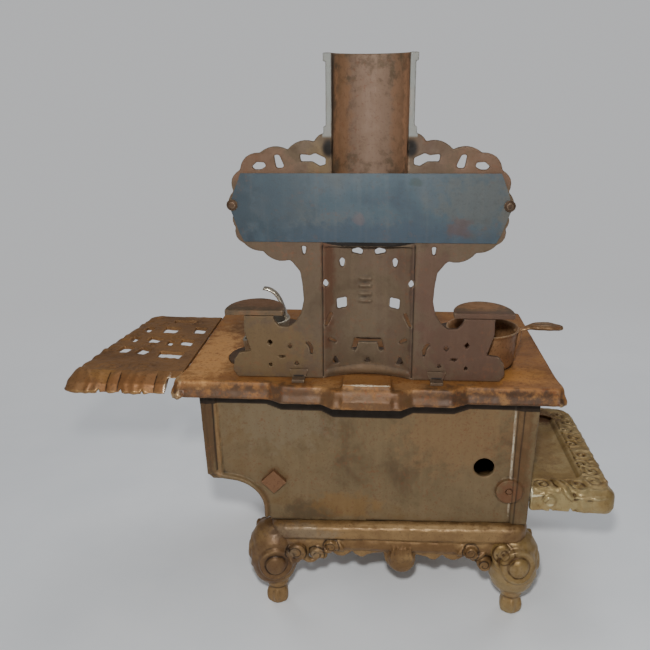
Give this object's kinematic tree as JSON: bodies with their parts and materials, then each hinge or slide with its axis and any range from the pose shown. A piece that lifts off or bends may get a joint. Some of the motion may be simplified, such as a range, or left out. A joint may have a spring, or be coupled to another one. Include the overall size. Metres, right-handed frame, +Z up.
{
  "type": "toy cooking range",
  "caption": "Cast iron toy cooking range on four feet, with a pierced flue back, half-round chimney, tea shelves, side shelf, hearth, loose lids, opening doors, a saucepan and a coal scuttle.",
  "frame": {"origin": "centre of the whole object's box, at floor level", "axes": "+Z up, the front with the doors faces -Y, +X towards the reservoir end with the side shelf"},
  "size_m": [0.3214, 0.1592, 0.3217],
  "materials": {
    "top": "warm orange-brown bronzed paint, rubbed bright on the edges, with pits",
    "body": "olive brown bronzed paint, streaked and speckled",
    "base": "brown bronzed paint with brassy rubbed edges",
    "gilt": "dull gold bronzed paint, mottled",
    "flue": "grey brown bronzed paint, purplish on one side, edges worn to metal",
    "shelf": "brown bronzed paint with worn yellow patches",
    "blued": "heat-blued sheet steel with rust specks",
    "iron": "dark iron with some rust",
    "sheet_iron": "dark sheet iron",
    "steel": "dull grey metal"
  },
  "bodies": {
    "stove": {"base_frame": "base", "leg_rear_reservoir_end": "base", "leg_rear_firebox_end": "gilt", "leg_front_reservoir_end": "base", "leg_front_firebox_end": "gilt", "back_plate": "body", "front_plate": "body", "end_plate_firebox": "body", "end_plate_reservoir": "body", "oven_door_hinge_pin": "steel", "firebox_door_hinge_pin": "steel", "ash_door_hinge_pin": "steel", "end_door_hinge_pin": "steel", "closet_door_reservoir_end_hinge_pin": "steel", "closet_door_firebox_end_hinge_pin": "steel", "oven_liner": "sheet_iron", "firebox_basket": "steel", "tie_rod_reservoir_side": "steel", "tie_rod_firebox_side": "steel", "tie_rod_square_nut": "body", "top_plate": "top", "flue_back": "flue", "blued_sheet": "blued", "sheet_rivet_reservoir_end": "iron", "sheet_rivet_firebox_end": "iron", "tea_shelf_reservoir_end": "flue", "tea_shelf_firebox_end": "flue", "flue_clip_reservoir_end": "flue", "flue_clip_firebox_end": "flue", "warming_closet": "flue"},
    "lid_front_firebox_end": {"lid_front_firebox_end": "iron"},
    "lid_front_middle": {"lid_front_middle": "iron"},
    "lid_front_reservoir_end": {"lid_front_reservoir_end": "iron"},
    "lid_rear_firebox_end": {"lid_rear_firebox_end": "iron"},
    "lid_rear_middle": {"lid_rear_middle": "iron"},
    "lid_rear_reservoir_end": {"lid_rear_reservoir_end": "iron"},
    "saucepan": {"saucepan": "iron"},
    "coal_scuttle": {"coal_scuttle": "steel"},
    "side_shelf": {"side_shelf": "shelf"},
    "hearth_shelf": {"hearth_shelf": "gilt"},
    "oven_door": {"oven_door": "body", "oven_door_knob": "gilt"},
    "firebox_door": {"firebox_door": "body", "firebox_door_knob": "gilt"},
    "ash_door": {"ash_door": "body", "ash_door_knob": "gilt"},
    "end_door": {"end_door": "body", "end_door_knob": "gilt"},
    "closet_door_reservoir_end": {"closet_door_reservoir_end": "flue"},
    "closet_door_firebox_end": {"closet_door_firebox_end": "flue"},
    "oven_rack": {"oven_rack": "steel"}
  },
  "joints": [
    {"name": "lid_front_firebox_end_lift", "type": "slide", "parent": "stove", "child": "lid_front_firebox_end", "axis": [0, 0, 1], "range_m": [0, 0.03]},
    {"name": "lid_front_middle_lift", "type": "slide", "parent": "stove", "child": "lid_front_middle", "axis": [0, 0, 1], "range_m": [0, 0.03]},
    {"name": "lid_front_reservoir_end_lift", "type": "slide", "parent": "stove", "child": "lid_front_reservoir_end", "axis": [0, 0, 1], "range_m": [0, 0.03]},
    {"name": "lid_rear_firebox_end_lift", "type": "slide", "parent": "stove", "child": "lid_rear_firebox_end", "axis": [0, 0, 1], "range_m": [0, 0.008]},
    {"name": "lid_rear_middle_lift", "type": "slide", "parent": "stove", "child": "lid_rear_middle", "axis": [0, 0, 1], "range_m": [0, 0.03]},
    {"name": "lid_rear_reservoir_end_lift", "type": "slide", "parent": "stove", "child": "lid_rear_reservoir_end", "axis": [0, 0, 1], "range_m": [0, 0.008]},
    {"name": "saucepan_slide", "type": "slide", "parent": "lid_rear_firebox_end", "child": "saucepan", "axis": [0, -1, 0], "range_m": [0, 0.017]},
    {"name": "coal_scuttle_slide", "type": "slide", "parent": "lid_rear_reservoir_end", "child": "coal_scuttle", "axis": [0, -1, 0], "range_m": [0, 0.02]},
    {"name": "side_shelf_lift", "type": "slide", "parent": "stove", "child": "side_shelf", "axis": [0, 0, 1], "range_m": [0, 0.03]},
    {"name": "hearth_shelf_pull", "type": "slide", "parent": "stove", "child": "hearth_shelf", "axis": [-1, 0, 0], "range_m": [0, 0.01]},
    {"name": "oven_door_hinge", "type": "hinge", "parent": "stove", "child": "oven_door", "pos_m": [0.0327, -0.0694, 0.1], "axis": [0, 0, 1], "range_deg": [0, 110]},
    {"name": "firebox_door_hinge", "type": "hinge", "parent": "stove", "child": "firebox_door", "pos_m": [-0.0653, -0.0694, 0.12], "axis": [0, 0, 1], "range_deg": [0, 110]},
    {"name": "ash_door_hinge", "type": "hinge", "parent": "stove", "child": "ash_door", "pos_m": [-0.0603, -0.0694, 0.078], "axis": [0, 0, 1], "range_deg": [0, 110]},
    {"name": "end_door_hinge", "type": "hinge", "parent": "stove", "child": "end_door", "pos_m": [-0.1117, -0.0326, 0.1], "axis": [0, 0, 1], "range_deg": [0, 110]},
    {"name": "closet_door_reservoir_end_hinge", "type": "hinge", "parent": "stove", "child": "closet_door_reservoir_end", "pos_m": [0.0462, 0.0207, 0.2475], "axis": [0, 0, 1], "range_deg": [0, 110]},
    {"name": "closet_door_firebox_end_hinge", "type": "hinge", "parent": "stove", "child": "closet_door_firebox_end", "pos_m": [-0.0772, 0.0207, 0.2475], "axis": [0, 0, -1], "range_deg": [0, 110]},
    {"name": "oven_rack_slide", "type": "slide", "parent": "stove", "child": "oven_rack", "axis": [0, -1, 0], "range_m": [0, 0.02]}
  ]
}
